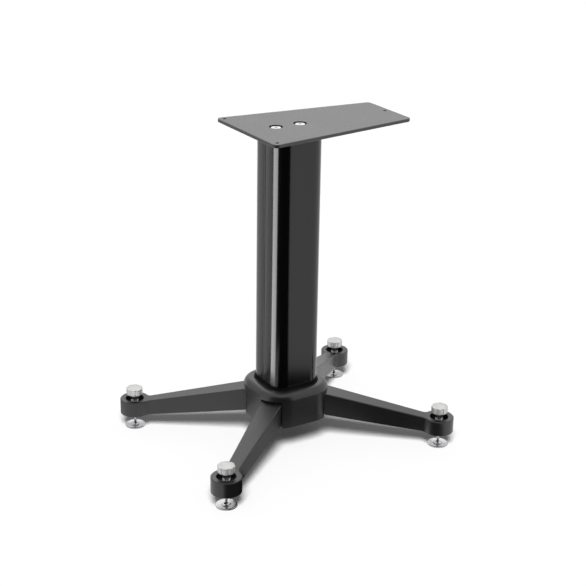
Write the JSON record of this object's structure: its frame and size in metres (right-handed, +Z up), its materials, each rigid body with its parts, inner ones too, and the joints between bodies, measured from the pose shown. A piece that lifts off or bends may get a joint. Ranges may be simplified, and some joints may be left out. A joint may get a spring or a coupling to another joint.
{
  "type": "speaker stand",
  "caption": "Floor stand for a bookshelf loudspeaker: tapered top plate on a box column, over a hub with splayed legs on adjustable spikes and floor cups.",
  "frame": {"origin": "on the floor under the column's axis, midway between the feet", "axes": "+Z up, -Y towards the front, where the top plate is wide, +X to the right when looking from the front along +Y"},
  "size_m": [0.4064, 0.5064, 0.6],
  "materials": {
    "plate_black": "satin black powder coat, fine grain",
    "column_black": "satin black anodised extrusion",
    "casting_black": "satin black painted casting",
    "seal_rubber": "black, matt",
    "bolt_silver": "turned, satin",
    "bolt_black": "black oxide",
    "insert_steel": "black oxide",
    "spindle_steel": "polished",
    "knob_metal": "satin, fluted edge",
    "cup_steel": "polished"
  },
  "bodies": {
    "stand": {"top_plate": "plate_black", "plate_bolts": "bolt_silver", "column": "column_black", "hub": "casting_black", "column_seal": "seal_rubber", "column_bolts": "bolt_black", "leg_bolts": "bolt_black", "leg_front_left": "casting_black", "leg_front_right": "casting_black", "leg_rear_left": "casting_black", "leg_rear_right": "casting_black", "foot_insert_front_left": "insert_steel", "foot_insert_front_right": "insert_steel", "foot_insert_rear_left": "insert_steel", "foot_insert_rear_right": "insert_steel"},
    "cup_front_left": {"spike_cup_front_left": "cup_steel"},
    "screw_front_left": {"spindle_front_left": "spindle_steel", "knob_front_left": "knob_metal"},
    "cup_front_right": {"spike_cup_front_right": "cup_steel"},
    "screw_front_right": {"spindle_front_right": "spindle_steel", "knob_front_right": "knob_metal"},
    "cup_rear_left": {"spike_cup_rear_left": "cup_steel"},
    "screw_rear_left": {"spindle_rear_left": "spindle_steel", "knob_rear_left": "knob_metal"},
    "cup_rear_right": {"spike_cup_rear_right": "cup_steel"},
    "screw_rear_right": {"spindle_rear_right": "spindle_steel", "knob_rear_right": "knob_metal"}
  },
  "joints": [
    {"name": "level_front_left", "type": "slide", "parent": "stand", "child": "cup_front_left", "axis": [0, 0, 1], "range_m": [-0.01, 0.01]},
    {"name": "knob_turn_front_left", "type": "hinge", "parent": "cup_front_left", "child": "screw_front_left", "pos_m": [-0.176, -0.226, 0.05], "axis": [0, 0, 1], "range_deg": [-2400, 2400]},
    {"name": "level_front_right", "type": "slide", "parent": "stand", "child": "cup_front_right", "axis": [0, 0, 1], "range_m": [-0.01, 0.01]},
    {"name": "knob_turn_front_right", "type": "hinge", "parent": "cup_front_right", "child": "screw_front_right", "pos_m": [0.176, -0.226, 0.05], "axis": [0, 0, 1], "range_deg": [-2400, 2400]},
    {"name": "level_rear_left", "type": "slide", "parent": "stand", "child": "cup_rear_left", "axis": [0, 0, 1], "range_m": [-0.01, 0.01]},
    {"name": "knob_turn_rear_left", "type": "hinge", "parent": "cup_rear_left", "child": "screw_rear_left", "pos_m": [-0.176, 0.226, 0.05], "axis": [0, 0, 1], "range_deg": [-2400, 2400]},
    {"name": "level_rear_right", "type": "slide", "parent": "stand", "child": "cup_rear_right", "axis": [0, 0, 1], "range_m": [-0.01, 0.01]},
    {"name": "knob_turn_rear_right", "type": "hinge", "parent": "cup_rear_right", "child": "screw_rear_right", "pos_m": [0.176, 0.226, 0.05], "axis": [0, 0, 1], "range_deg": [-2400, 2400]}
  ],
  "couplings": [
    {"joint": "knob_turn_front_left", "follows": "level_front_left", "rad_per_m": 4188.7},
    {"joint": "knob_turn_front_right", "follows": "level_front_right", "rad_per_m": 4188.7},
    {"joint": "knob_turn_rear_left", "follows": "level_rear_left", "rad_per_m": 4188.7},
    {"joint": "knob_turn_rear_right", "follows": "level_rear_right", "rad_per_m": 4188.7}
  ]
}
